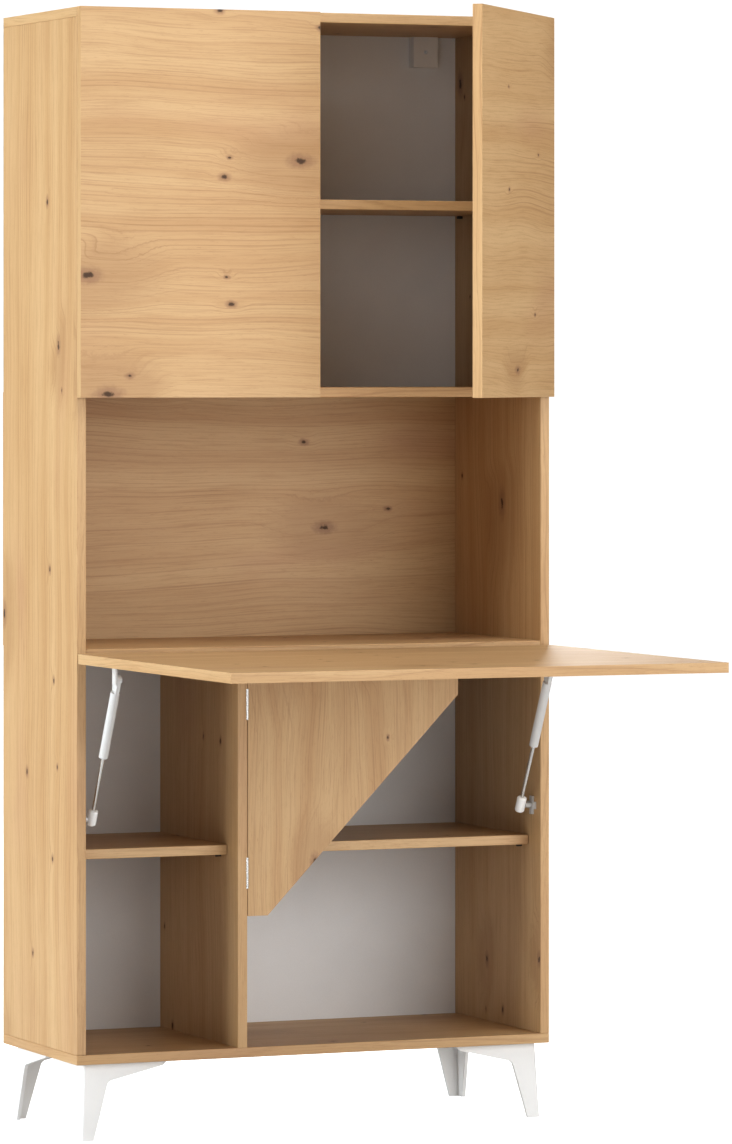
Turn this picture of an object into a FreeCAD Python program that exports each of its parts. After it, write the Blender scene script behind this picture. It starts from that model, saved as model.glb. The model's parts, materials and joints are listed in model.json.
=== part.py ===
import FreeCAD, Part
import Sketcher
import os
import re
from FreeCAD import Rotation, Vector

# A tall cabinet with a fold-down desk flap: two doors above, an open niche at
# desk height, and two shelved bays below that the flap covers when it hangs.
# X runs across the front, Y from the front to the wall, Z up from the floor.
# The origin is on the floor, midway across and midway between flap and wall.

doc = FreeCAD.newDocument("fold_down_wall_desk")
sheet = doc.addObject("Spreadsheet::Sheet", "Sizes")

SIZES = [
    # carcass
    ("width", 836.0, "outer width"),
    ("depth", 348.0, "depth of the sides"),
    ("height", 1700.0, "carcass height without legs"),
    ("board", 16.0, "thickness of every board"),
    ("back_board", 3.0, "thickness of the back panels"),
    ("desk_level", 667.5, "top of the fixed desk shelf above the carcass bottom"),
    ("upper_floor_level", 1088.0, "top of the upper cupboard's floor"),
    ("left_bay", 263.0, "clear width of the left lower bay"),
    ("lower_shelf_level", 342.5, "top of both lower shelves"),
    ("lower_shelf_setback", 46.0, "lower shelves stand back from the front"),
    ("upper_shelf_level", 1395.5, "top of the upper shelf"),
    ("upper_shelf_setback", 20.0, "upper shelf stands back from the front"),
    ("shelf_play", 0.75, "play at each shelf end"),
    ("dowel_radius", 4.0, "wooden dowel"),
    ("dowel_face_depth", 11.0, "dowel depth in a board's face"),
    ("dowel_end_depth", 19.0, "dowel depth in a board's end"),
    ("dowel_inset", 60.0, "dowels stand in from front and back"),
    ("peg_radius", 2.5, "shelf pin"),
    ("peg_depth", 7.0, "shelf pin depth in the board"),
    ("peg_reach", 9.0, "shelf pin length under the shelf"),
    ("peg_inset", 30.0, "shelf pins stand in from the shelf's edges"),
    ("seat_gap", 0.3, "gap between pieces that touch but move apart"),
    # doors and their concealed pivots
    ("door_gap", 2.0, "doors and closed flap stand off the carcass"),
    ("door_split", 3.0, "gap between the two doors"),
    ("door_open_degrees", 49.0, "right door's opening at rest"),
    ("hinge_inset", 5.5, "pivot axis from the door's edge"),
    ("knuckle_radius", 3.0, "hinge knuckle"),
    ("knuckle_gap", 0.7, "room round a knuckle in its pocket"),
    ("knuckle_length", 30.0, "hinge knuckle length"),
    ("hinge_sheet", 2.0, "thickness of the hinge brackets"),
    ("hinge_arm", 35.0, "bracket length on the board"),
    ("door_hinge_inset", 95.0, "hinge centres from the door's ends"),
    ("pin_radius", 1.5, "hinge pin"),
    ("pin_grip", 10.0, "hinge pin length held at each end"),
    ("running_fit", 0.05, "radial play of pins and rods"),
    # flap
    ("flap_level", 660.7, "top of the open flap above the carcass bottom"),
    ("flap_gap", 6.0, "flap's rear edge from the carcass"),
    ("flap_hinge_inset", 84.0, "outer flap hinges from the flap's ends"),
    ("flap_knuckle_length", 40.0, "flap hinge knuckle length"),
    # gas struts
    ("strut_offset", 22.0, "strut axis from the side's inner face"),
    ("strut_forward", 74.0, "strut's upper pivot in front of the flap axis"),
    ("strut_drop", 22.7, "strut's upper pivot below the flap"),
    ("stud_back", 32.0, "lower stud behind the carcass front"),
    ("stud_level", 393.0, "lower stud above the carcass bottom"),
    ("stud_radius", 4.0, "lower stud"),
    ("stud_plate", 30.0, "arms of the cross-shaped stud plate"),
    ("stud_plate_arm", 12.0, "width of the plate's arms"),
    ("stud_sheet", 3.0, "thickness of the stud plate"),
    ("tube_radius", 7.5, "strut cylinder"),
    ("tube_wall", 1.0, "wall of the strut cylinder"),
    ("tube_end", 142.0, "cylinder's lower end below the upper pivot"),
    ("tube_start", 22.0, "cylinder's upper end below the upper pivot"),
    ("gland", 6.0, "closed ends of the strut cylinder"),
    ("piston_height", 8.0, "piston"),
    ("piston_radius", 6.4, "piston"),
    ("rod_radius", 3.0, "piston rod"),
    ("eye_radius", 9.0, "flat eye at the strut's head"),
    ("eye_thickness", 6.0, "flat eye at the strut's head"),
    ("eye_pin_radius", 3.0, "pin through the eye"),
    ("eye_pin_head", 5.0, "head radius of the eye's pin"),
    ("bracket_sheet", 3.0, "thickness of the strut bracket"),
    ("bracket_length", 40.0, "strut bracket along the flap"),
    ("bracket_width", 18.0, "strut bracket across the flap"),
    ("bracket_tab", 16.0, "width of the bracket's tab"),
    ("socket_radius", 8.0, "plastic socket at the rod's end"),
    ("socket_round", 3.0, "rounding of the socket's ends"),
    ("socket_above", 16.0, "socket above its stud"),
    ("socket_below", 11.0, "socket below its stud"),
    # swinging support
    ("support_reach", 374.0, "support's length along its top"),
    ("support_height", 414.0, "support's height at the hinge"),
    ("support_nose", 62.0, "height of the support's free end"),
    ("support_foot", 35.0, "width of the support's lower end"),
    ("support_gap", 1.5, "gap between divider and support"),
    ("support_top_gap", 1.5, "gap between support and flap"),
    ("support_recess", 1.0, "stowed support behind the carcass front"),
    ("butt_radius", 2.0, "knuckle of the support's hinges"),
    ("butt_pin_radius", 1.0, "pin of the support's hinges"),
    ("butt_leaf", 0.6, "leaf thickness of the support's hinges"),
    ("butt_leaf_width", 14.0, "leaf width of the support's hinges"),
    ("butt_length", 50.0, "length of the support's hinges"),
    ("butt_notch", 0.4, "room round the hinge knuckle in the wood"),
    ("butt_inset", 45.0, "hinge ends from the support's ends"),
    # legs
    ("leg_height", 124.0, "floor to carcass"),
    ("leg_inset", 17.5, "leg's corner from the carcass faces, at the top"),
    ("leg_splay", 6.0, "how far the foot stands out from the leg's top"),
    ("leg_wing", 146.0, "length of the wings under the carcass"),
    ("leg_wing_tip", 8.0, "height of a wing's end"),
    ("leg_wing_slope", 8.0, "slope of a wing's end"),
    ("leg_knee", 44.0, "width of the leg below its wing"),
    ("leg_knee_drop", 30.0, "where wing and leg meet, below the carcass"),
    ("leg_foot", 22.0, "width of the foot"),
    ("leg_wall", 6.0, "wall of the leg"),
    ("leg_round", 5.0, "rounding of the leg's corner"),
    ("leg_knee_round", 10.0, "rounding where wing and leg meet"),
    ("touching", 0.05, "distance below which two points count as one"),
    ("leg_flange", 90.0, "leg's screw flange along the wings"),
    ("leg_screw_inset", 22.0, "leg screws from the leg's corner"),
    ("leg_screw_radius", 2.0, "leg screw"),
    ("leg_screw_depth", 12.0, "leg screw depth in the board"),
    ("leg_screw_head", 4.0, "leg screw head radius"),
    ("leg_screw_head_height", 2.5, "leg screw head"),
    # wall hangers
    ("hanger_width", 45.0, "wall hanger"),
    ("hanger_depth", 20.0, "wall hanger"),
    ("hanger_height", 52.0, "wall hanger"),
    ("hanger_inset", 41.0, "wall hanger from the side"),
    ("hanger_hole", 3.0, "radius of the wall screw's hole"),
]

for row, (alias, size, note) in enumerate(SIZES, start=1):
    sheet.set(f"A{row}", note)
    sheet.set(f"B{row}", str(size))
    sheet.setAlias(f"B{row}", alias)
doc.recompute()

# places and sizes worked out from the sheet, written once
DERIVED = {
    "left": "(0 - width / 2)",
    "right": "(width / 2)",
    "inner_left": "(left + board)",
    "inner_right": "(right - board)",
    "inner_width": "(width - 2 * board)",
    "flap_length": "(flap_level - flap_gap + door_gap)",
    "whole_depth": "(flap_gap + flap_length + depth + back_board)",
    "front": "(flap_gap + flap_length - whole_depth / 2)",
    "rear": "(front + depth)",
    "base": "leg_height",
    "top": "(base + height)",
    "desk_top": "(base + desk_level)",
    "desk_under": "(desk_top - board)",
    "divider_left": "(inner_left + left_bay)",
    "divider_right": "(divider_left + board)",
    "right_bay": "(inner_right - divider_right)",
    "floor_under": "(base + upper_floor_level - board)",
    "upper_shelf_under": "(base + upper_shelf_level - board)",
    "lower_shelf_under": "(base + lower_shelf_level - board)",
    "axis_y": "(front - door_gap - board / 2)",
    "door_height": "(top - floor_under)",
    "door_width": "((width - door_split) / 2)",
    "flap_axis_z": "(base + flap_level - board / 2)",
    "strut_y": "(axis_y - strut_forward)",
    "strut_z": "(flap_axis_z - board / 2 - strut_drop)",
    "stud_y": "(front + stud_back)",
    "stud_z": "(base + stud_level)",
    "strut_length": "sqrt((stud_y - strut_y)^2 + (strut_z - stud_z)^2)",
    "strut_lean": "atan2(stud_y - strut_y; strut_z - stud_z)",
    "support_x": "(divider_right + support_gap / 2)",
    "support_y": "(front + support_recess)",
    "support_top": "(flap_axis_z - board / 2 - support_top_gap)",
}
WORD = re.compile(r"[A-Za-z_][A-Za-z_0-9]*")
ALIASES = {alias for alias, size, note in SIZES}
nodes = {}


def expand(text):
    """Write an expression of plain words in terms of the sheet's cells."""
    def swap(match):
        word = match.group(0)
        if word in DERIVED:
            return expand(DERIVED[word])
        if word in ALIASES:
            return "Sizes." + word
        return word
    return WORD.sub(swap, text)


def bind(item, prop, text):
    item.setExpression(prop, expand(text))


def value(text):
    """The number that an expression has now."""
    return float(sheet.evalExpression(expand(text)))


def place(item, x, y, z):
    bind(item, "Placement.Base.x", x)
    bind(item, "Placement.Base.y", y)
    bind(item, "Placement.Base.z", z)


def box(name, size, corner):
    item = doc.addObject("Part::Box", name)
    for prop, text in zip(("Length", "Width", "Height"), size):
        bind(item, prop, text)
    place(item, *corner)
    return item


TURNS = {
    "x": Rotation(Vector(0, 1, 0), 90),
    "y": Rotation(Vector(1, 0, 0), -90),
    "z": Rotation(),
}


def rod(name, radius, length, start, along="z"):
    """A round bar from its start point along one axis."""
    item = doc.addObject("Part::Cylinder", name)
    bind(item, "Radius", radius)
    bind(item, "Height", length)
    item.Placement.Rotation = TURNS[along]
    place(item, *start)
    return item


def group(name, items):
    item = doc.addObject("Part::Compound", name)
    item.Links = list(items)
    return item


def fuse(name, items):
    item = doc.addObject("Part::MultiFuse", name)
    item.Shapes = list(items)
    item.Refine = True
    return item


def cut(name, base, tools):
    item = doc.addObject("Part::Cut", name)
    item.Base = base
    item.Tool = tools[0] if len(tools) == 1 else group(name + "_cuts", tools)
    return item


def round_ends(name, bar, radius):
    """A round bar with both of its end edges rounded."""
    item = doc.addObject("Part::Fillet", name)
    item.Base = bar
    doc.recompute()
    ends = [number for number, edge in enumerate(bar.Shape.Edges, start=1) if edge.isClosed()]
    item.Edges = [(number, value(radius), value(radius)) for number in ends]
    return item


def keep(name, item):
    """Hand a finished sub-part on under its own name."""
    item.Label = name
    nodes[name] = item
    return item


# dowels, shelf pins and screws first, because they also cut their own holes
holes = {name: [] for name in (
    "left_side", "right_side", "top_panel", "bottom_panel",
    "desk_shelf", "upper_floor", "divider", "upper_back",
)}
ENDS = {"fore": "(front + dowel_inset)", "aft": "(rear - dowel_inset)"}


def upright_dowel(upright, flat, x, z, end_above):
    """Two dowels from a flat board's face into an upright's end."""
    low = f"{z} - dowel_face_depth" if end_above else f"{z} - dowel_end_depth"
    made = []
    for end, y in ENDS.items():
        bar = rod(f"dowel_{upright}_{flat}_{end}", "dowel_radius",
                  "dowel_face_depth + dowel_end_depth", (x, y, low))
        holes[upright].append(bar)
        holes[flat].append(bar)
        made.append(bar)
    return made


def flat_dowel(flat, upright, x, z, end_right):
    """Two dowels from an upright's face into a flat board's end."""
    low = f"{x} - dowel_face_depth" if end_right else f"{x} - dowel_end_depth"
    made = []
    for end, y in ENDS.items():
        bar = rod(f"dowel_{flat}_{upright}_{end}", "dowel_radius",
                  "dowel_face_depth + dowel_end_depth", (low, y, z), "x")
        holes[flat].append(bar)
        holes[upright].append(bar)
        made.append(bar)
    return made


dowels = []
for upright, x in (("left_side", "left + board / 2"), ("right_side", "right - board / 2")):
    dowels += upright_dowel(upright, "bottom_panel", x, "base + board", True)
    dowels += upright_dowel(upright, "top_panel", x, "top - board", False)
divider_middle = "divider_left + board / 2"
dowels += upright_dowel("divider", "bottom_panel", divider_middle, "base + board", True)
dowels += upright_dowel("divider", "desk_shelf", divider_middle, "desk_under", False)
for flat, z in (("desk_shelf", "desk_under + board / 2"), ("upper_floor", "floor_under + board / 2")):
    dowels += flat_dowel(flat, "left_side", "inner_left", z, True)
    dowels += flat_dowel(flat, "right_side", "inner_right", z, False)
keep("carcass_dowels", group("carcass_dowels", dowels))

SHELVES = {
    "upper_shelf": ("left_side", "right_side", "inner_left", "inner_right",
                    "upper_shelf_under", "upper_shelf_setback"),
    "left_lower_shelf": ("left_side", "divider", "inner_left", "divider_left",
                         "lower_shelf_under", "lower_shelf_setback"),
    "right_lower_shelf": ("divider", "right_side", "divider_right", "inner_right",
                          "lower_shelf_under", "lower_shelf_setback"),
}
for shelf, (wall_left, wall_right, x_left, x_right, under, setback) in SHELVES.items():
    pegs = []
    for end, y in (("fore", f"front + {setback} + peg_inset"), ("aft", "rear - peg_inset")):
        z = f"{under} - seat_gap - peg_radius"
        peg_left = rod(f"{shelf}_peg_left_{end}", "peg_radius", "peg_depth + peg_reach",
                       (f"{x_left} - peg_depth", y, z), "x")
        peg_right = rod(f"{shelf}_peg_right_{end}", "peg_radius", "peg_depth + peg_reach",
                        (f"{x_right} - peg_reach", y, z), "x")
        holes[wall_left].append(peg_left)
        holes[wall_right].append(peg_right)
        pegs += [peg_left, peg_right]
    keep(f"{shelf}_pins", group(f"{shelf}_pins", pegs))
    board_size = (f"{x_right} - {x_left} - 2 * shelf_play", f"depth - {setback} - shelf_play", "board")
    keep(shelf, box(shelf, board_size, (f"{x_left} + shelf_play", f"front + {setback}", under)))

# legs: a vertical L of two tapered walls that splay outwards, with a screw flange
LEGS = {
    "front_left_leg": (1, 1, "left", "front"),
    "front_right_leg": (-1, 1, "right", "front"),
    "rear_left_leg": (1, -1, "left", "rear"),
    "rear_right_leg": (-1, -1, "right", "rear"),
}
leg_outline = [
    ("0", "0"),
    ("leg_wing", "0"),
    ("leg_wing - leg_wing_slope", "leg_wing_tip"),
    ("leg_knee", "leg_knee_drop"),
    ("leg_foot", "leg_height"),
    ("0", "leg_height"),
]


def leg_solid(to_x, to_y, corner_x, corner_y):
    """One leg, whose wings run along to_x and to_y from its outer corner."""
    x0 = corner_x + to_x * value("leg_inset")
    y0 = corner_y + to_y * value("leg_inset")
    full, wall, splay = value("leg_height"), value("leg_wall"), value("leg_splay")
    outline = [(value(run), value(drop)) for run, drop in leg_outline]

    def wing(point, inward):
        ring = [point(run, splay * drop / full, full - drop) for run, drop in outline]
        return Part.Face(Part.makePolygon(ring + ring[:1])).extrude(inward)

    across = wing(lambda run, out, z: Vector(x0 + to_x * (run - out), y0 - to_y * out, z),
                  Vector(0, to_y * wall, 0))
    along = wing(lambda run, out, z: Vector(x0 - to_x * out, y0 + to_y * (run - out), z),
                 Vector(to_x * wall, 0, 0))
    flange = value("leg_flange")
    corners = [Vector(x0, y0, full), Vector(x0 + to_x * flange, y0, full),
               Vector(x0, y0 + to_y * flange, full)]
    plate = Part.Face(Part.makePolygon(corners + corners[:1])).extrude(Vector(0, 0, -wall))
    solid = across.fuse([along, plate]).removeSplitter()
    ridge_top = Part.Vertex(Vector(x0, y0, full))
    knee_level = full - value("leg_knee_drop")
    near = value("touching")
    upright_share = 0.5
    ridge = [edge for edge in solid.Edges
             if edge.distToShape(ridge_top)[0] < near
             and abs(edge.tangentAt(edge.FirstParameter).z) > upright_share]
    knees = [edge for edge in solid.Edges
             if all(abs(end.Z - knee_level) < near for end in edge.Vertexes)]
    return solid.makeFillet(value("leg_round"), ridge).makeFillet(value("leg_knee_round"), knees)


leg_screws = []
for name, (to_x, to_y, side, end) in LEGS.items():
    leg = doc.addObject("Part::Feature", name)
    leg.Shape = leg_solid(to_x, to_y, value(side), value(end))
    screws = []
    for number, (run_x, run_y) in enumerate((("2 * leg_screw_inset", "leg_screw_inset"),
                                             ("leg_screw_inset", "2 * leg_screw_inset"))):
        x = f"{side} + {to_x} * (leg_inset + {run_x})"
        y = f"{end} + {to_y} * (leg_inset + {run_y})"
        shank = rod(f"{name}_screw_{number}", "leg_screw_radius", "leg_wall + leg_screw_depth",
                    (x, y, "base - leg_wall"))
        head = rod(f"{name}_screw_head_{number}", "leg_screw_head", "leg_screw_head_height",
                   (x, y, "base - leg_wall - leg_screw_head_height"))
        holes["bottom_panel"].append(shank)
        screws.append(shank)
        leg_screws.append(fuse(f"{name}_whole_screw_{number}", [shank, head]))
    keep(name, cut(name + "_drilled", leg, screws))
keep("leg_screws", group("leg_screws", leg_screws))

# wall hangers in the upper rear corners, drilled with the back panel for a wall screw
for side, x in (("left", "inner_left + hanger_inset"),
                ("right", "inner_right - hanger_inset - hanger_width")):
    body = box(f"{side}_hanger_block", ("hanger_width", "hanger_depth", "hanger_height"),
               (x, "rear - hanger_depth", "top - board - hanger_height"))
    hole = rod(f"{side}_hanger_hole", "hanger_hole", "hanger_depth + back_board",
               (f"{x} + hanger_width / 2", "rear - hanger_depth",
                "top - board - hanger_height / 2"), "y")
    holes["upper_back"].append(hole)
    keep(f"{side}_wall_hanger", cut(f"{side}_hanger_drilled", body, [hole]))

# the support's hinges need a notch at the divider's front right corner
hinge_places = {"upper": "(support_top - butt_inset - butt_length)",
                "lower": "(support_top - support_height + butt_inset)"}
for end, z in hinge_places.items():
    room = "(butt_radius + butt_notch)"
    holes["divider"].append(box(
        f"divider_notch_{end}", (room, f"2 * {room}", "butt_length"),
        (f"support_x - {room}", f"support_y - {room}", z)))

PANELS = {
    "bottom_panel": (("width", "depth", "board"), ("left", "front", "base")),
    "top_panel": (("width", "depth", "board"), ("left", "front", "top - board")),
    "left_side": (("board", "depth", "height - 2 * board"), ("left", "front", "base + board")),
    "right_side": (("board", "depth", "height - 2 * board"), ("inner_right", "front", "base + board")),
    "upper_floor": (("inner_width", "depth", "board"), ("inner_left", "front", "floor_under")),
    "desk_shelf": (("inner_width", "depth", "board"), ("inner_left", "front", "desk_under")),
    "divider": (("board", "depth", "desk_level - 2 * board"), ("divider_left", "front", "base + board")),
    "upper_back": (("width", "back_board", "top - floor_under - board / 2"),
                   ("left", "rear", "floor_under + board / 2")),
    "niche_back": (("width", "back_board", "floor_under - desk_under"),
                   ("left", "rear", "desk_under + board / 2")),
    "lower_back": (("width", "back_board", "desk_level - board / 2"), ("left", "rear", "base")),
}
for name, (size, corner) in PANELS.items():
    panel = box(name + "_board", size, corner)
    if name in holes:
        panel = cut(name + "_drilled", panel, holes[name])
    keep(name, panel)


# doors: each turns on pins through two knuckles that sit in pockets of the board
def make_door(side, hand, x_axis, open_angle):
    """hand is 1 where the door lies to the left of its axis, -1 to the right."""
    run = "(door_width - hinge_inset)"
    room = "(knuckle_radius + knuckle_gap)"
    arm = "(board - hinge_inset + hinge_sheet)"
    x_low = f"0 - {run}" if hand > 0 else "0 - hinge_inset"
    slab = box(f"{side}_door_slab", ("door_width", "board", "door_height"),
               (x_low, "0 - board / 2", "0"))
    pockets = []
    pins = []
    brackets = []
    for end, z in (("lower", "door_hinge_inset"), ("upper", "(door_height - door_hinge_inset)")):
        low = f"{z} - knuckle_length / 2"
        pocket_x = f"0 - {arm} - knuckle_gap" if hand > 0 else f"0 - {room}"
        pockets.append(box(
            f"{side}_door_pocket_{end}",
            (f"{arm} + knuckle_gap + {room}", f"board / 2 + {room}", "knuckle_length + 2 * knuckle_gap"),
            (pocket_x, f"0 - {room}", f"{low} - knuckle_gap")))
        grip = rod(f"{side}_door_pin_{end}", "pin_radius", "knuckle_length + 2 * pin_grip",
                   ("0", "0", f"{low} - pin_grip"))
        pockets.append(grip)
        pins.append(grip)
        # the bracket wraps from the side's inner face to the knuckle
        z_low = f"floor_under + {low}"
        plate_x = f"{x_axis} - {hand} * {arm}" if hand > 0 else f"{x_axis} + {arm} - hinge_sheet"
        leg_x = f"{x_axis} - {arm}" if hand > 0 else x_axis
        plate = box(f"{side}_door_plate_{end}",
                    ("hinge_sheet", "hinge_sheet / 2 + board / 2 + door_gap + hinge_arm", "knuckle_length"),
                    (plate_x, "axis_y - hinge_sheet / 2", z_low))
        leg = box(f"{side}_door_leg_{end}", (arm, "hinge_sheet", "knuckle_length"),
                  (leg_x, "axis_y - hinge_sheet / 2", z_low))
        barrel = rod(f"{side}_door_barrel_{end}", "knuckle_radius", "knuckle_length",
                     (x_axis, "axis_y", z_low))
        bore = rod(f"{side}_door_bore_{end}", "pin_radius + running_fit", "knuckle_length",
                   (x_axis, "axis_y", z_low))
        whole = fuse(f"{side}_door_hinge_{end}", [plate, leg, barrel])
        brackets.append(cut(f"{side}_door_hinge_bored_{end}", whole, [bore]))
    door = keep(f"{side}_door", cut(f"{side}_door_cut", slab, pockets))
    pin_group = keep(f"{side}_door_pins", group(f"{side}_door_pin_group", pins))
    keep(f"{side}_door_hinges", group(f"{side}_door_hinge_group", brackets))
    for item in (door, pin_group):
        place(item, x_axis, "axis_y", "floor_under")
        item.Placement.Rotation = Rotation(Vector(0, 0, 1), 0)
        bind(item, "Placement.Rotation.Angle", open_angle)


make_door("left", -1, "(left + hinge_inset)", "0")
make_door("right", 1, "(right - hinge_inset)", "door_open_degrees")

# flap: turns on pins through knuckles that reach out from under the desk shelf
flap_slab = box("flap_slab", ("width", "flap_length", "board"),
                ("left", "front - flap_gap - flap_length", "flap_axis_z - board / 2"))
flap_cuts = []
flap_pins = []
flap_hinges = []
flap_room = "(knuckle_radius + knuckle_gap)"
for number, x in enumerate(("left + flap_hinge_inset", "0", "right - flap_hinge_inset")):
    low = f"({x} - flap_knuckle_length / 2)"
    flap_cuts.append(box(
        f"flap_notch_{number}",
        ("flap_knuckle_length + 2 * knuckle_gap",
         f"{flap_room} + board / 2 + door_gap - flap_gap + knuckle_gap", f"board / 2 + {flap_room}"),
        (f"{low} - knuckle_gap", f"axis_y - {flap_room}", "flap_axis_z - board / 2")))
    pin = rod(f"flap_pin_{number}", "pin_radius", "flap_knuckle_length + 2 * pin_grip",
              (f"{low} - pin_grip", "axis_y", "flap_axis_z"), "x")
    flap_cuts.append(pin)
    flap_pins.append(pin)
    tongue = box(f"flap_tongue_{number}",
                 ("flap_knuckle_length", "board / 2 + door_gap + hinge_arm", "hinge_sheet"),
                 (low, "axis_y", "desk_under - hinge_sheet"))
    barrel = rod(f"flap_barrel_{number}", "knuckle_radius", "flap_knuckle_length",
                 (low, "axis_y", "flap_axis_z"), "x")
    bore = rod(f"flap_bore_{number}", "pin_radius + running_fit", "flap_knuckle_length",
               (low, "axis_y", "flap_axis_z"), "x")
    blank = fuse(f"flap_hinge_blank_{number}", [tongue, barrel])
    flap_hinges.append(cut(f"flap_hinge_{number}", blank, [bore]))
keep("flap", cut("flap_cut", flap_slab, flap_cuts))
keep("flap_pins", group("flap_pin_group", flap_pins))
keep("flap_hinges", group("flap_hinge_group", flap_hinges))


# gas struts: drawn hanging straight down from the upper pivot, then leaned to the stud
def make_strut(side, hand, x):
    """hand is 1 where the cabinet's side is to the left of the strut."""
    half_eye = "eye_thickness / 2"
    tab_x = f"{x} - {half_eye} - seat_gap - bracket_sheet" if hand > 0 else f"{x} + {half_eye} + seat_gap"
    foot_x = tab_x if hand > 0 else f"{tab_x} + bracket_sheet - bracket_width"
    under = "flap_axis_z - board / 2"
    foot = box(f"{side}_bracket_foot", ("bracket_width", "bracket_length", "bracket_sheet"),
               (foot_x, "strut_y - bracket_length / 2", f"{under} - bracket_sheet"))
    tab = box(f"{side}_bracket_tab", ("bracket_sheet", "bracket_tab", "strut_drop + bracket_tab / 2"),
              (tab_x, "strut_y - bracket_tab / 2", "strut_z - bracket_tab / 2"))
    pin_x = tab_x if hand > 0 else f"{x} - {half_eye} - seat_gap - bracket_sheet"
    pin = rod(f"{side}_eye_pin", "eye_pin_radius", "eye_thickness + 2 * seat_gap + 2 * bracket_sheet",
              (pin_x, "strut_y", "strut_z"), "x")
    head_x = f"{x} + {half_eye} + seat_gap" if hand > 0 else f"{x} - {half_eye} - seat_gap - bracket_sheet"
    head = rod(f"{side}_eye_pin_head", "eye_pin_head", "bracket_sheet", (head_x, "strut_y", "strut_z"), "x")
    keep(f"{side}_strut_bracket", fuse(f"{side}_bracket_whole", [foot, tab, pin, head]))

    # cylinder with a flat eye, hollow for the piston
    eye = rod(f"{side}_eye", "eye_radius", "eye_thickness", (f"0 - {half_eye}", "0", "0"), "x")
    neck = box(f"{side}_neck", ("eye_thickness", "2 * eye_radius", "tube_start"),
               (f"0 - {half_eye}", "0 - eye_radius", "0 - tube_start"))
    tube = rod(f"{side}_tube", "tube_radius", "tube_end - tube_start", ("0", "0", "0 - tube_end"))
    hollow = rod(f"{side}_tube_hollow", "tube_radius - tube_wall", "tube_end - tube_start - 2 * gland",
                 ("0", "0", "0 - tube_end + gland"))
    mouth = rod(f"{side}_tube_mouth", "rod_radius + running_fit", "gland", ("0", "0", "0 - tube_end"))
    eye_hole = rod(f"{side}_eye_hole", "eye_pin_radius + running_fit", "eye_thickness",
                   (f"0 - {half_eye}", "0", "0"), "x")
    blank = fuse(f"{side}_cylinder_blank", [eye, neck, tube])
    chamber = fuse(f"{side}_cylinder_chamber", [hollow, mouth])
    cylinder = keep(f"{side}_strut_cylinder", cut(f"{side}_cylinder_bored", blank, [chamber, eye_hole]))

    # rod with its piston just above the gland, pushed into the socket
    stem = rod(f"{side}_stem", "rod_radius", "strut_length - tube_end + gland",
               ("0", "0", "0 - strut_length"))
    piston = rod(f"{side}_piston", "piston_radius", "piston_height",
                 ("0", "0", "0 - tube_end + gland + seat_gap"))
    stem_top = rod(f"{side}_stem_top", "rod_radius", "seat_gap + piston_height",
                   ("0", "0", "0 - tube_end + gland"))
    piston_rod = keep(f"{side}_strut_rod", fuse(f"{side}_rod_whole", [stem, stem_top, piston]))
    blank = rod(f"{side}_socket_blank", "socket_radius", "socket_above + socket_below",
                ("0", "0", "0 - strut_length - socket_below"))
    shell = round_ends(f"{side}_socket_shell", blank, "socket_round")
    socket = keep(f"{side}_strut_socket", cut(f"{side}_socket_bored", shell, [stem]))
    for item in (cylinder, piston_rod, socket):
        place(item, x, "strut_y", "strut_z")
        item.Placement.Rotation = Rotation(Vector(1, 0, 0), 0)
        bind(item, "Placement.Rotation.Angle", "strut_lean")

    # cross-shaped plate on the side with the stud that the socket snaps on
    wall = "inner_left" if hand > 0 else "inner_right - stud_sheet"
    stud_length = "strut_offset - stud_sheet - socket_radius - seat_gap"
    stud_x = "inner_left + stud_sheet" if hand > 0 else f"inner_right - stud_sheet - ({stud_length})"
    upright = box(f"{side}_plate_upright", ("stud_sheet", "stud_plate_arm", "stud_plate"),
                  (wall, "stud_y - stud_plate_arm / 2", "stud_z - stud_plate / 2"))
    level = box(f"{side}_plate_level", ("stud_sheet", "stud_plate", "stud_plate_arm"),
                (wall, "stud_y - stud_plate / 2", "stud_z - stud_plate_arm / 2"))
    stud = rod(f"{side}_stud", "stud_radius", stud_length, (stud_x, "stud_y", "stud_z"), "x")
    keep(f"{side}_strut_stud", fuse(f"{side}_stud_whole", [upright, level, stud]))


make_strut("left", 1, "(inner_left + strut_offset)")
make_strut("right", -1, "(inner_right - strut_offset)")


# support: a trapezoid board that stows across the right bay and swings out under the flap
def sketch_outline(body, name, corners):
    """A closed outline on the body's XZ plane, each corner held by the sheet."""
    plane = [item for item in body.Origin.OriginFeatures if item.Role == "XZ_Plane"][0]
    sketch = body.newObject("Sketcher::SketchObject", name)
    sketch.AttachmentSupport = [(plane, "")]
    sketch.MapMode = "FlatFace"
    points = [Vector(value(x), value(z), 0) for x, z in corners]
    count = len(points)
    for index, point in enumerate(points):
        sketch.addGeometry(Part.LineSegment(point, points[(index + 1) % count]), False)
    for index in range(count):
        sketch.addConstraint(Sketcher.Constraint("Coincident", index, 2, (index + 1) % count, 1))
    for index, (x, z) in enumerate(corners):
        for kind, text in (("DistanceX", x), ("DistanceY", z)):
            number = sketch.addConstraint(Sketcher.Constraint(kind, -1, 1, index, 1, value(text)))
            sketch.setExpression(f"Constraints[{number}]", expand(text))
    return sketch


support_body = doc.addObject("PartDesign::Body", "support_body")
start = "(support_gap / 2)"
outline = sketch_outline(support_body, "support_outline", [
    (start, "0"),
    (f"{start} + support_reach", "0"),
    (f"{start} + support_reach", "0 - support_nose"),
    (f"{start} + support_foot", "0 - support_height"),
    (start, "0 - support_height"),
])
pad = support_body.newObject("PartDesign::Pad", "support_pad")
pad.Profile = outline
bind(pad, "Length", "board")
pad.Reversed = True
doc.recompute()

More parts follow.
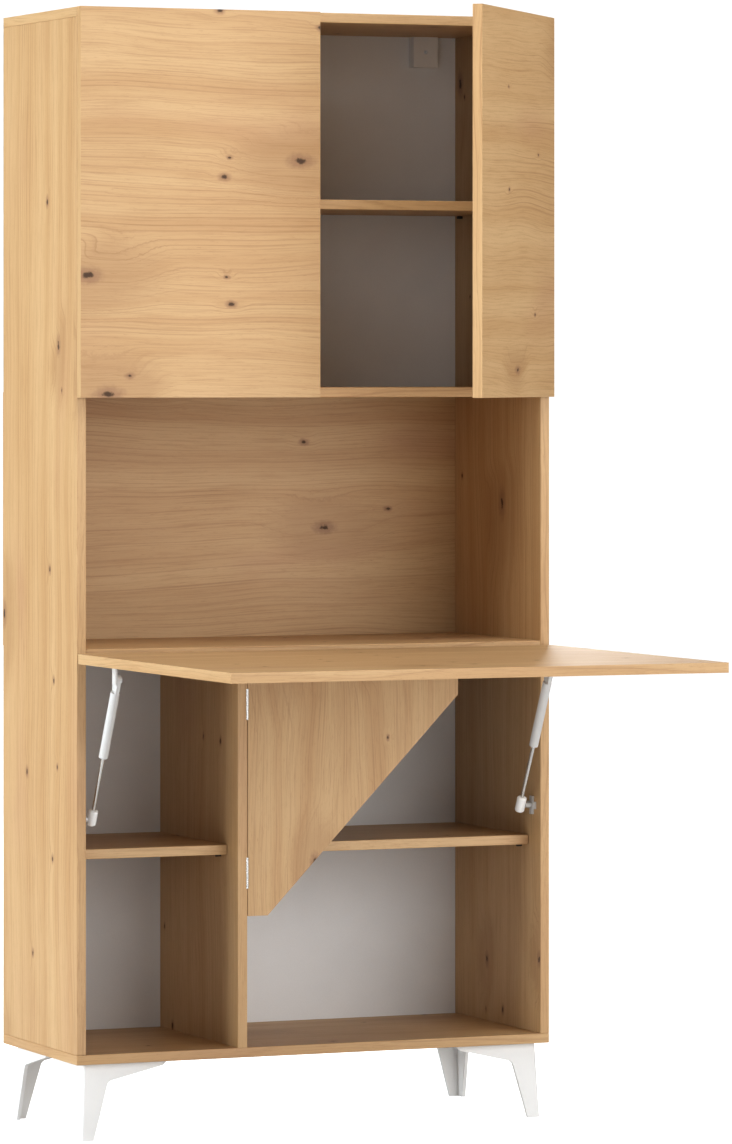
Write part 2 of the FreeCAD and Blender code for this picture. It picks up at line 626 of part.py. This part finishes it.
butt_cuts = []
fixed_leaves = []
swing_leaves = []
butt_pins = []
butt_room = "(butt_radius + butt_notch)"
for end, z in hinge_places.items():
    local_z = f"({z} - support_top)"
    butt_cuts.append(box(f"support_notch_{end}", (butt_room, butt_room, "butt_length"), ("0", "0", local_z)))
    split = f"({z} + butt_length / 2)"
    half = "(butt_length / 2 - seat_gap / 2)"
    for kind, leaves, leaf_x, knuckle_z in (
            ("fixed", fixed_leaves, "divider_right", z),
            ("swing", swing_leaves, f"support_x + {start} - butt_leaf", f"{split} + seat_gap / 2")):
        # the swinging leaf lies flat on the support's end, behind the knuckle
        leaf = box(f"butt_leaf_{kind}_{end}", ("butt_leaf", "butt_leaf_width", half),
                   (leaf_x, "support_y", knuckle_z))
        start_point = ("support_x", "support_y", knuckle_z)
        knuckle = rod(f"butt_knuckle_{kind}_{end}", "butt_radius", half, start_point)
        core = rod(f"butt_core_{kind}_{end}", "butt_pin_radius + running_fit", half, start_point)
        whole = fuse(f"butt_{kind}_blank_{end}", [leaf, knuckle])
        leaves.append(cut(f"butt_{kind}_{end}", whole, [core]))
    butt_pins.append(rod(f"butt_pin_{end}", "butt_pin_radius", "butt_length", ("support_x", "support_y", z)))
support = keep("support_panel", cut("support_cut", support_body, butt_cuts))
place(support, "support_x", "support_y", "support_top")
keep("support_fixed_leaves", group("support_fixed_leaf_group", fixed_leaves))
keep("support_swing_leaves", group("support_swing_leaf_group", swing_leaves))
keep("support_hinge_pins", group("support_hinge_pin_group", butt_pins))

doc.recompute()
for item in doc.Objects:
    if {"Invalid", "Error"} & set(item.State):
        raise RuntimeError(f"{item.Name} failed: {item.State}")
os.makedirs("parts", exist_ok=True)
for name, item in nodes.items():
    shape = item.Shape
    if shape.isNull() or not shape.isValid() or not shape.Solids:
        raise RuntimeError(f"{name} has no valid solid")
    shape.exportStep(f"parts/{name}.step")
    print(f"{name}: {len(shape.Solids)} solids, {shape.Volume:.0f} mm3")
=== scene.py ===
import json
import math

import bmesh
import bpy
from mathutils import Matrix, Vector


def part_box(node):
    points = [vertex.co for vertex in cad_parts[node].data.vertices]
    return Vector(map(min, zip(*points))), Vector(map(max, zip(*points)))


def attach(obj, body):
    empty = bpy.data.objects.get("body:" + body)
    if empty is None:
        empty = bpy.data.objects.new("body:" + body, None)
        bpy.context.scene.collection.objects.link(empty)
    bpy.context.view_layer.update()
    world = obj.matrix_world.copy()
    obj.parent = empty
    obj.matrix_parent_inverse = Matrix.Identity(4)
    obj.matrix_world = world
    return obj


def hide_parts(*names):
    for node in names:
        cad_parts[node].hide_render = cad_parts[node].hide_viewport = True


# Looks of a tall oak cabinet with a fold-down desk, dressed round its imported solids.
# Lengths are in metres, in the frame of the solids: X across, Y to the wall, Z up.

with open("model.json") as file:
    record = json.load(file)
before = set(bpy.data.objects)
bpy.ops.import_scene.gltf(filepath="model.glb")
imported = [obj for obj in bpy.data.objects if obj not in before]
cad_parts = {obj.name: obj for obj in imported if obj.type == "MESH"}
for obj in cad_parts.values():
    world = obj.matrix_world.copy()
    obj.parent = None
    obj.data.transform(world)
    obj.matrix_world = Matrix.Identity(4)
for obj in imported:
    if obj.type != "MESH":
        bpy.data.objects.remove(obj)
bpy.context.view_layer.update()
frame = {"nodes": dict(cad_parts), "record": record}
nodes = frame["nodes"]
record = frame["record"]
scene = bpy.context.scene
slot_of = {part["node"]: part["material_slot"] for part in record["subparts"]}
body_of = {node: body for body, members in record["behaviour"]["bodies"].items() for node in members}
joint_of = {joint["name"]: joint for joint in record["behaviour"]["joints"]}

# Grain axis of each oak board, and the axis across it on the board's wide face.
BOARDS = {
    "left_side": ("z", "y"),
    "right_side": ("z", "y"),
    "divider": ("z", "y"),
    "top_panel": ("x", "y"),
    "bottom_panel": ("x", "y"),
    "upper_floor": ("x", "y"),
    "desk_shelf": ("x", "y"),
    "upper_shelf": ("x", "y"),
    "left_lower_shelf": ("x", "y"),
    "right_lower_shelf": ("x", "y"),
    "niche_back": ("x", "z"),
    "left_door": ("x", "z"),
    "right_door": ("x", "z"),
    "flap": ("x", "y"),
    "support_panel": ("z", "x"),
}
# Boards that are plain blocks apart from holes that other pieces fill.
BLOCK_BOARDS = (
    "left_side", "right_side", "top_panel", "bottom_panel", "upper_floor", "desk_shelf",
    "upper_shelf", "left_lower_shelf", "right_lower_shelf", "niche_back", "lower_back",
)
EDGE_ROUND = 0.0010
EDGE_SEGMENTS = 2
EDGE_PROFILE_SHARE = 0.5
# Each board's figure starts this much further on, so that no two boards match.
BOARD_OFFSET = (1.37, 0.83, 0.29)

# Sockets of the mix node, which has one set for each kind of value.
MIX_SOCKETS = {
    "RGBA": {"factor": 0, "first": 6, "second": 7, "result": 2},
    "VECTOR": {"factor": 0, "first": 4, "second": 5, "result": 1},
}
NOISE_ROUGHNESS_SHARE = 0.55
# Octaves of a noise.
SOFT_DETAIL = 2
FINE_DETAIL = 3
SPECK_DETAIL = 4


def give(tree, socket, source):
    """Links a socket to its source, or sets it where the source is a plain value."""
    if isinstance(source, bpy.types.NodeSocket):
        tree.links.new(source, socket)
    else:
        socket.default_value = source


def add(tree, kind, inputs=None, **settings):
    """A node with its settings made and its inputs given."""
    node = tree.nodes.new(kind)
    for key, setting in settings.items():
        setattr(node, key, setting)
    for key, source in (inputs or {}).items():
        give(tree, node.inputs[key], source)
    return node


def number_node(tree, operation, *terms):
    return add(tree, "ShaderNodeMath", dict(enumerate(terms)), operation=operation).outputs[0]


def vector_node(tree, operation, *terms):
    return add(tree, "ShaderNodeVectorMath", dict(enumerate(terms)), operation=operation).outputs[0]


def mix(tree, kind, factor, first, second):
    sockets = MIX_SOCKETS[kind]
    node = add(tree, "ShaderNodeMix", data_type=kind, clamp_factor=True)
    for key, source in (("factor", factor), ("first", first), ("second", second)):
        give(tree, node.inputs[sockets[key]], source)
    return node.outputs[sockets["result"]]


def noise(tree, vector, detail, scale=1.0):
    inputs = {"Vector": vector, "Scale": scale, "Detail": detail, "Roughness": NOISE_ROUGHNESS_SHARE}
    return add(tree, "ShaderNodeTexNoise", inputs)


def stretched_noise(tree, vector, cells, detail):
    """Noise with its own number of cells per metre along each axis."""
    return noise(tree, vector_node(tree, "MULTIPLY", vector, cells), detail)


def line_noise(tree, along, lines, detail):
    """Noise of one number only, so that its stripes follow that number."""
    inputs = {"W": number_node(tree, "MULTIPLY", along, lines), "Scale": 1.0, "Detail": detail}
    return add(tree, "ShaderNodeTexNoise", inputs, noise_dimensions="1D").outputs["Fac"]


def spread(tree, source, low, high, to_low=0.0, to_high=1.0):
    """A smooth step between two values of the source."""
    inputs = {"Value": source, "From Min": low, "From Max": high, "To Min": to_low, "To Max": to_high}
    return add(tree, "ShaderNodeMapRange", inputs, interpolation_type="SMOOTHSTEP").outputs["Result"]


def turned(tree, vector, center, angle):
    """A vector of the closed board, from one of the board turned about an upright axis."""
    inputs = {"Vector": vector, "Center": center, "Angle": -angle}
    return add(tree, "ShaderNodeVectorRotate", inputs, rotation_type="Z_AXIS").outputs["Vector"]


def split_vector(tree, vector):
    """A vector's three parts by the name of their axis."""
    parts = add(tree, "ShaderNodeSeparateXYZ", {0: vector}).outputs
    return {axis: parts[axis.upper()] for axis in "xyz"}


def join_vector(tree, parts, axes):
    """A vector made of the parts of another one, in the order of the given axes."""
    inputs = {to: parts[axis] for to, axis in zip("XYZ", axes)}
    return add(tree, "ShaderNodeCombineXYZ", inputs).outputs[0]


def new_material(name):
    material = bpy.data.materials.new(name)
    material.use_nodes = True
    return material, material.node_tree


def feed_shader(tree, color, roughness, height, bump_strength, bump_depth):
    """Gives the material's shader its colour, gloss and relief."""
    shader = tree.nodes["Principled BSDF"]
    bump = add(tree, "ShaderNodeBump",
               {"Strength": bump_strength, "Distance": bump_depth, "Height": height})
    surface = {"Base Color": color, "Roughness": roughness, "Normal": bump.outputs["Normal"]}
    for key, source in surface.items():
        give(tree, shader.inputs[key], source)
    return shader


# Oak. Cells and lines are counted per metre. A step is a source's low and high value,
# and the share that it gives there.
OAK_LIGHT = (0.575, 0.390, 0.206, 1)
OAK_MIDDLE = (0.492, 0.304, 0.144, 1)
OAK_ROSE = (0.480, 0.283, 0.156, 1)
OAK_DARK = (0.300, 0.150, 0.057, 1)
KNOT_RING = (0.270, 0.135, 0.070, 1)
KNOT_HEART = (0.040, 0.022, 0.016, 1)

SWAY_CELLS = (1.3, 4.0, 4.0)
SWAY_MIDDLE = (0.5, 0.5, 0.5)
SWAY_REACH = (0.0, 0.085, 0.02)
DEPTH_SHARE = 0.6
BROAD_LINES = 26.0
FINE_LINES = 250.0
FIBRE_CELLS = (11.0, 520.0, 520.0)
PORE_CELLS = (55.0, 1500.0, 1500.0)
CLOUD_CELLS = (1.7, 4.5, 4.5)
BLUSH_CELLS = (2.3, 6.0, 6.0)

BROAD_TONE_SHARE = 0.75
CLOUD_TONE_SHARE = 0.65
TONE_STEP = (0.45, 1.0)
BLUSH_STEP = (0.52, 0.72, 0.0, 0.7)
LINE_STEP = (0.48, 0.78)
LINE_CLOUD_STEP = (0.35, 0.65, 0.18, 0.52)
FIBRE_STEP = (0.45, 0.75, 0.0, 0.32)
PORE_STEP = (0.62, 0.72, 0.0, 0.45)

OAK_ROUGHNESS_SHARE = 0.40
FIBRE_ROUGHNESS_SHARE = 0.16
KNOT_ROUGHNESS_SHARE = 0.35
FIBRE_HEIGHT_SHARE = 0.6
PORE_HEIGHT_SHARE = -0.5
KNOT_HEIGHT_SHARE = -0.8
OAK_BUMP_STRENGTH = 0.25
OAK_BUMP_DEPTH = 0.0004
# How squarely a face looks along an axis before it counts as facing that way.
FACING_STEP = (0.5, 0.7)

# Knots lie in cells along and across the grain. Some cells stay empty, and heart,
# ring and reach are a knot's radii as shares of a cell. The lines bulge round it.
KNOTS = {
    "large": {"cells": (2.6, 5.0, 0.0), "empty": 0.58, "heart": 0.027, "ring": 0.080,
              "reach": 0.40, "bulge": 0.024},
    "small": {"cells": (6.5, 10.5, 0.0), "empty": 0.72, "heart": 0.036, "ring": 0.085,
              "reach": 0.24, "bulge": 0.006},
}
KNOT_SCATTER_SHARE = 0.9
KNOT_CHOICE_STEP = 0.02
KNOT_BORDER_STEP = (0.0, 0.16)
KNOT_RAGGED_CELLS = 140.0
KNOT_RAGGED_SHARE = 0.05
KNOT_SIZE_LEAST_SHARE = 0.55
KNOT_SIZE_SPREAD_SHARE = 0.7
KNOT_CORE_SHARE = 0.35
KNOT_REACH_SHARE = 0.32
KNOT_RING_SHARE = 0.62
KNOT_HEART_SHARE = 0.85


def knot_layers(tree, place, face, knots):
    """Heart, ring and reach of scattered knots, only where face is 1."""
    scaled = vector_node(tree, "MULTIPLY", place, knots["cells"])
    inputs = {"Vector": scaled, "Scale": 1.0, "Randomness": KNOT_SCATTER_SHARE}
    cells = add(tree, "ShaderNodeTexVoronoi", inputs, voronoi_dimensions="2D")
    borders = add(tree, "ShaderNodeTexVoronoi", inputs, voronoi_dimensions="2D",
                  feature="DISTANCE_TO_EDGE")
    pick = add(tree, "ShaderNodeSeparateColor", {"Color": cells.outputs["Color"]})
    chosen = spread(tree, pick.outputs["Red"], knots["empty"], knots["empty"] + KNOT_CHOICE_STEP)
    chosen = number_node(tree, "MULTIPLY", chosen, face)
    # a knot fades out before the border of its cell
    inside = spread(tree, borders.outputs["Distance"], *KNOT_BORDER_STEP)
    chosen = number_node(tree, "MULTIPLY", chosen, inside)

    ragged = noise(tree, place, FINE_DETAIL, scale=KNOT_RAGGED_CELLS).outputs["Fac"]
    far = number_node(tree, "MULTIPLY_ADD", ragged, KNOT_RAGGED_SHARE, cells.outputs["Distance"])
    far = number_node(tree, "SUBTRACT", far, KNOT_RAGGED_SHARE / 2)
    size = number_node(tree, "MULTIPLY_ADD", pick.outputs["Green"],
                       KNOT_SIZE_SPREAD_SHARE, KNOT_SIZE_LEAST_SHARE)
    far = number_node(tree, "DIVIDE", far, size)
    layers = {}
    for key in ("heart", "ring", "reach"):
        fade = spread(tree, far, knots[key] * KNOT_CORE_SHARE, knots[key], 1.0, 0.0)
        layers[key] = number_node(tree, "MULTIPLY", fade, chosen)
    return layers


def make_oak_group():
    """Oak figure in metres, with the grain along X and the wide face in XY."""
    tree = bpy.data.node_groups.new("oak_figure", "ShaderNodeTree")
    tree.interface.new_socket("Place", in_out="INPUT", socket_type="NodeSocketVector")
    tree.interface.new_socket("Face", in_out="INPUT", socket_type="NodeSocketFloat")
    tree.interface.new_socket("Color", in_out="OUTPUT", socket_type="NodeSocketColor")
    tree.interface.new_socket("Roughness", in_out="OUTPUT", socket_type="NodeSocketFloat")
    tree.interface.new_socket("Height", in_out="OUTPUT", socket_type="NodeSocketFloat")
    given = add(tree, "NodeGroupInput").outputs
    place = given["Place"]

    # growth lines wander along the board and bulge round the knots
    sway = stretched_noise(tree, place, SWAY_CELLS, SOFT_DETAIL).outputs["Color"]
    sway = vector_node(tree, "SUBTRACT", sway, SWAY_MIDDLE)
    bent = vector_node(tree, "ADD", place, vector_node(tree, "MULTIPLY", sway, SWAY_REACH))
    parts = split_vector(tree, bent)
    figure = number_node(tree, "MULTIPLY_ADD", parts["z"], DEPTH_SHARE, parts["y"])
    knots = {size: knot_layers(tree, place, given["Face"], KNOTS[size]) for size in KNOTS}
    for size, layers in knots.items():
        figure = number_node(tree, "MULTIPLY_ADD", layers["reach"], KNOTS[size]["bulge"], figure)

    broad = line_noise(tree, figure, BROAD_LINES, FINE_DETAIL)
    lines = line_noise(tree, figure, FINE_LINES, FINE_DETAIL)
    fibre = stretched_noise(tree, bent, FIBRE_CELLS, FINE_DETAIL).outputs["Fac"]
    pores = stretched_noise(tree, bent, PORE_CELLS, SOFT_DETAIL).outputs["Fac"]
    clouds = stretched_noise(tree, place, CLOUD_CELLS, FINE_DETAIL).outputs["Fac"]
    blush = stretched_noise(tree, place, BLUSH_CELLS, SOFT_DETAIL).outputs["Color"]
    hearts = number_node(tree, "MAXIMUM", knots["large"]["heart"], knots["small"]["heart"])
    rings = number_node(tree, "MAXIMUM", knots["large"]["ring"], knots["small"]["ring"])

    cloud_tone = number_node(tree, "MULTIPLY", clouds, CLOUD_TONE_SHARE)
    tone = number_node(tree, "MULTIPLY_ADD", broad, BROAD_TONE_SHARE, cloud_tone)
    line_depth = number_node(tree, "MULTIPLY", spread(tree, lines, *LINE_STEP),
                             spread(tree, clouds, *LINE_CLOUD_STEP))
    color = mix(tree, "RGBA", spread(tree, tone, *TONE_STEP), OAK_LIGHT, OAK_MIDDLE)
    coats = (
        (spread(tree, blush, *BLUSH_STEP), OAK_ROSE),
        (line_depth, OAK_DARK),
        (spread(tree, fibre, *FIBRE_STEP), OAK_DARK),
        (spread(tree, pores, *PORE_STEP), OAK_DARK),
        (number_node(tree, "MULTIPLY", knots["large"]["reach"], KNOT_REACH_SHARE), OAK_DARK),
        (number_node(tree, "MULTIPLY", rings, KNOT_RING_SHARE), KNOT_RING),
        (number_node(tree, "MULTIPLY", hearts, KNOT_HEART_SHARE), KNOT_HEART),
    )
    for factor, coat in coats:
        color = mix(tree, "RGBA", factor, color, coat)

    rough = number_node(tree, "MULTIPLY_ADD", fibre, FIBRE_ROUGHNESS_SHARE, OAK_ROUGHNESS_SHARE)
    rough = number_node(tree, "MULTIPLY_ADD", hearts, KNOT_ROUGHNESS_SHARE, rough)
    height = number_node(tree, "MULTIPLY", pores, PORE_HEIGHT_SHARE)
    height = number_node(tree, "MULTIPLY_ADD", fibre, FIBRE_HEIGHT_SHARE, height)
    height = number_node(tree, "MULTIPLY_ADD", hearts, KNOT_HEIGHT_SHARE, height)
    add(tree, "NodeGroupOutput", {"Color": color, "Roughness": rough, "Height": height})
    return tree


oak_group = make_oak_group()


def oak(name, grain, across, offset, turn, pivot):
    """Oak whose figure runs along one axis of a board, which may stand turned about a pivot."""
    material, tree = new_material(name)
    coordinates = add(tree, "ShaderNodeTexCoord").outputs
    place = coordinates["Object"]
    normal = coordinates["Normal"]
    if turn:
        place = turned(tree, place, pivot, turn)
        normal = turned(tree, normal, (0.0, 0.0, 0.0), turn)
    through = (set("xyz") - {grain, across}).pop()
    parts = split_vector(tree, place)
    facing = split_vector(tree, normal)
    on_face = spread(tree, number_node(tree, "ABSOLUTE", facing[through]), *FACING_STEP)
    on_end = spread(tree, number_node(tree, "ABSOLUTE", facing[grain]), *FACING_STEP)
    # the banding on a board's ends has its grain along the edge
    face_place = join_vector(tree, parts, (grain, across, through))
    end_place = join_vector(tree, parts, (across, through, grain))
    board_place = mix(tree, "VECTOR", on_end, face_place, end_place)
    shifted = vector_node(tree, "ADD", board_place, offset)
    figure = add(tree, "ShaderNodeGroup", node_tree=oak_group)
    give(tree, figure.inputs["Place"], shifted)
    give(tree, figure.inputs["Face"], on_face)
    feed_shader(tree, figure.outputs["Color"], figure.outputs["Roughness"], figure.outputs["Height"],
                OAK_BUMP_STRENGTH, OAK_BUMP_DEPTH)
    return material


# Plain finishes: darker and lighter colour, specks per metre, the range of the
# roughness, and how metallic they are.
FINISHES = {
    "pale_board": ((0.72, 0.735, 0.76, 1), (0.78, 0.795, 0.82, 1), 900.0, (0.55, 0.68), 0.0),
    "white_plastic": ((0.78, 0.785, 0.79, 1), (0.84, 0.845, 0.85, 1), 1400.0, (0.36, 0.48), 0.0),
    "beech": ((0.50, 0.33, 0.19, 1), (0.60, 0.42, 0.26, 1), 300.0, (0.55, 0.65), 0.0),
    "bright_steel": ((0.62, 0.62, 0.61, 1), (0.72, 0.72, 0.71, 1), 1800.0, (0.20, 0.32), 1.0),
    "grey_metal": ((0.56, 0.56, 0.56, 1), (0.64, 0.64, 0.64, 1), 1500.0, (0.32, 0.42), 0.0),
    "dark_metal": ((0.030, 0.028, 0.026, 1), (0.050, 0.047, 0.045, 1), 1500.0, (0.38, 0.50), 0.3),
    "floor_paint": ((0.80, 0.80, 0.80, 1), (0.82, 0.82, 0.82, 1), 60.0, (0.8, 0.9), 0.0),
}
MOTTLE_CELLS = 7.0
SPECK_TONE_SHARE = 0.4
MOTTLE_TONE_SHARE = 0.6
MOTTLE_STEP = (0.3, 0.7)
PLAIN_BUMP_STRENGTH = 0.3
PLAIN_BUMP_DEPTH = 0.00005


def plain(name):
    """A smooth finish with faint mottling in its colour, gloss and surface."""
    dark, light, specks, roughness, metallic = FINISHES[name]
    material, tree = new_material(name)
    place = add(tree, "ShaderNodeTexCoord").outputs["Object"]
    speck = noise(tree, place, SPECK_DETAIL, scale=specks).outputs["Fac"]
    mottle = noise(tree, place, SOFT_DETAIL, scale=MOTTLE_CELLS).outputs["Fac"]
    mottle = number_node(tree, "MULTIPLY", mottle, MOTTLE_TONE_SHARE)
    tone = number_node(tree, "MULTIPLY_ADD", speck, SPECK_TONE_SHARE, mottle)
    color = mix(tree, "RGBA", spread(tree, tone, *MOTTLE_STEP), dark, light)
    gloss = spread(tree, tone, *MOTTLE_STEP, *roughness)
    shader = feed_shader(tree, color, gloss, speck, PLAIN_BUMP_STRENGTH, PLAIN_BUMP_DEPTH)
    shader.inputs["Metallic"].default_value = metallic
    return material


finishes = {name: plain(name) for name in FINISHES}


def paint(obj, material):
    obj.data.materials.clear()
    obj.data.materials.append(material)


def rounded_board(node, material):
    """The board's own block with the small rounding of its edge banding."""
    low, high = (Vector(corner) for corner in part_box(node))
    mesh = bpy.data.meshes.new(node + "_board")
    work = bmesh.new()
    bmesh.ops.create_cube(work, size=1.0)
    bmesh.ops.scale(work, vec=high - low, verts=work.verts)
    bmesh.ops.translate(work, vec=(low + high) / 2, verts=work.verts)
    bmesh.ops.bevel(work, geom=work.edges[:], offset=EDGE_ROUND, segments=EDGE_SEGMENTS,
                    affect="EDGES", profile=EDGE_PROFILE_SHARE)
    work.to_mesh(mesh)
    work.free()
    board = bpy.data.objects.new(node + "_board", mesh)
    scene.collection.objects.link(board)
    paint(board, material)
    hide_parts(node)
    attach(board, body_of[node])


def dress(node, material):
    """Shows a node in its material, with rounded edges where it is a plain block."""
    if node in BLOCK_BOARDS:
        rounded_board(node, material)
    else:
        paint(nodes[node], material)


# The right door stands open at rest, and its joint's low limit is the closed door.
door_joint = joint_of["right_door_swing"]
door_turn = math.radians(-door_joint["range_deg"][0])
for number, (node, (grain, across)) in enumerate(BOARDS.items(), start=1):
    offset = tuple(step * number for step in BOARD_OFFSET)
    turn = door_turn if node == "right_door" else 0.0
    dress(node, oak(f"oak_{node}", grain, across, offset, turn, door_joint["pos_m"]))
for node in nodes:
    if node not in BOARDS:
        dress(node, finishes[slot_of[node]])

# Stage: a pale floor and a white backdrop. Both are seen white, and neither lights
# the object as strongly as it is seen.
FLOOR_SIZE = 26.0
FLOOR_DROP = 0.0005
FLOOR_GLOW = 0.94
AMBIENT_SHARE = 0.15
WHITE = (1.0, 1.0, 1.0, 1)


def make_floor():
    bpy.ops.mesh.primitive_plane_add(size=FLOOR_SIZE, location=(0, 0, -FLOOR_DROP))
    floor = bpy.context.object
    floor.name = "floor"
    paint(floor, finishes["floor_paint"])
    tree = finishes["floor_paint"].node_tree
    shader = tree.nodes["Principled BSDF"]
    seen = add(tree, "ShaderNodeLightPath").outputs["Is Camera Ray"]
    give(tree, shader.inputs["Emission Strength"], number_node(tree, "MULTIPLY", seen, FLOOR_GLOW))
    give(tree, shader.inputs["Emission Color"], WHITE)


def make_backdrop():
    world = bpy.data.worlds.new("studio")
    scene.world = world
    world.use_nodes = True
    tree = world.node_tree
    background = tree.nodes["Background"]
    seen = add(tree, "ShaderNodeLightPath").outputs["Is Camera Ray"]
    strength = number_node(tree, "MULTIPLY_ADD", seen, 1.0 - AMBIENT_SHARE, AMBIENT_SHARE)
    give(tree, background.inputs["Color"], WHITE)
    give(tree, background.inputs["Strength"], strength)


make_floor()
make_backdrop()

# Soft boxes: place, the point that they face, width and height, watts, colour.
WARM = (1.0, 0.99, 0.97)
LIGHTS = {
    "key": ((2.6, -5.4, 1.7), (0.0, 0.2, 0.9), (5.0, 3.6), 215.0, WARM),
    "side": ((-6.0, 0.6, 1.6), (0.0, 0.3, 0.9), (3.6, 3.6), 385.0, (0.93, 0.98, 1.0)),
    "top": ((0.3, -2.0, 5.2), (0.0, -0.3, 0.5), (4.0, 3.0), 160.0, WARM),
    "back": ((1.5, 6.5, 2.6), (0.0, 0.5, 0.9), (4.0, 3.0), 170.0, WARM),
    "fill": ((-3.4, -5.6, 2.2), (0.0, 0.2, 1.2), (3.0, 3.0), 42.0, (0.95, 0.98, 1.0)),
}
for name, (place, target, size, power, color) in LIGHTS.items():
    lamp = bpy.data.lights.new(name, "AREA")
    lamp.shape = "RECTANGLE"
    lamp.size, lamp.size_y = size
    lamp.energy = power
    lamp.color = color
    lamp_object = bpy.data.objects.new(name, lamp)
    scene.collection.objects.link(lamp_object)
    lamp_object.location = place
    aim = Vector(target) - Vector(place)
    lamp_object.rotation_euler = aim.to_track_quat("-Z", "Y").to_euler()

# Camera found from the photograph's vanishing lines: level, turned to the right,
# far away, with the picture's centre well below the lens axis.
PHOTO_WIDTH = 732
PHOTO_HEIGHT = 1144
FOCAL_PIXELS = 6009
HORIZON_ROW = 369.4
CAMERA_PLACE = (-3.792, -8.890, 1.2414)
CAMERA_TURN = 0.4051
CAMERA_FAR = 200.0
SENSOR_MM = 36.0
# The photograph has deep, warm shadows beside bright faces.
VIEW_EXPOSURE = 0.12
VIEW_GAMMA = 0.88

camera = bpy.data.cameras.new("camera")
camera.sensor_fit = "HORIZONTAL"
camera.sensor_width = SENSOR_MM
camera.lens = FOCAL_PIXELS * SENSOR_MM / PHOTO_WIDTH
camera.shift_y = (HORIZON_ROW - PHOTO_HEIGHT / 2) / PHOTO_WIDTH
camera.clip_end = CAMERA_FAR
camera_object = bpy.data.objects.new("camera", camera)
scene.collection.objects.link(camera_object)
camera_object.location = CAMERA_PLACE
camera_object.rotation_euler = (math.pi / 2, 0, -CAMERA_TURN)
scene.camera = camera_object
scene.view_settings.view_transform = "Standard"
scene.view_settings.exposure = VIEW_EXPOSURE
scene.view_settings.gamma = VIEW_GAMMA
